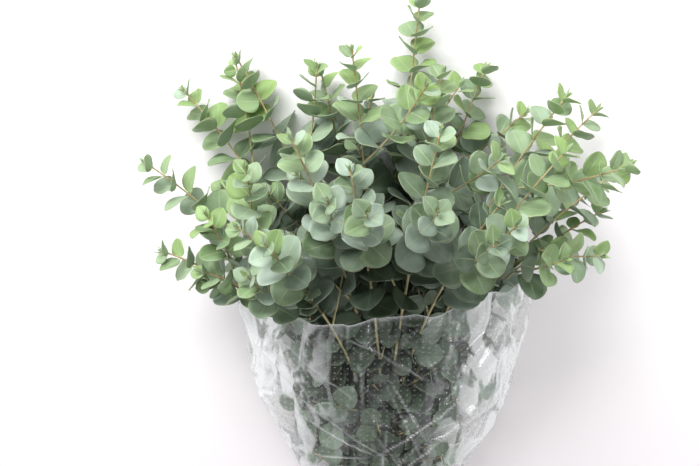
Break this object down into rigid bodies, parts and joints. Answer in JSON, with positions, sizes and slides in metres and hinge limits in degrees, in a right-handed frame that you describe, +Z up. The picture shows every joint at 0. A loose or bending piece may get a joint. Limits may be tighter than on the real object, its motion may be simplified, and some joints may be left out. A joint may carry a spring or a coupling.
{
  "type": "sleeved eucalyptus bunch",
  "caption": "Cut eucalyptus stems with round paired leaves, banded near their ends and wrapped in a tapered clear film sleeve, lying flat on a surface.",
  "frame": {"origin": "under the middle of the bunch's box, on the surface that it lies on", "axes": "+Y along the bunch from the cut ends to the leaf tips, +Z up from the surface, +X to the right seen from above with the tips away from the viewer"},
  "size_m": [0.6056, 0.8062, 0.3283],
  "materials": {
    "foliage": "waxy grey-green leaf with a pale bloom, on thin tan to red-brown twigs",
    "film": "clear creased packing film with fine punched holes",
    "band": "matt tan natural rubber"
  },
  "bodies": {
    "root": {"leafy_stem_01": "foliage", "leafy_stem_02": "foliage", "leafy_stem_03": "foliage", "leafy_stem_04": "foliage", "leafy_stem_05": "foliage", "leafy_stem_06": "foliage", "leafy_stem_07": "foliage", "leafy_stem_08": "foliage", "leafy_stem_09": "foliage", "leafy_stem_10": "foliage", "leafy_stem_11": "foliage", "leafy_stem_12": "foliage", "leafy_stem_13": "foliage", "leafy_stem_14": "foliage", "leafy_stem_15": "foliage", "leafy_stem_16": "foliage", "leafy_stem_17": "foliage", "leafy_stem_18": "foliage", "leafy_stem_19": "foliage", "leafy_stem_20": "foliage", "film_sleeve": "film", "elastic_band": "band"}
  },
  "joints": []
}
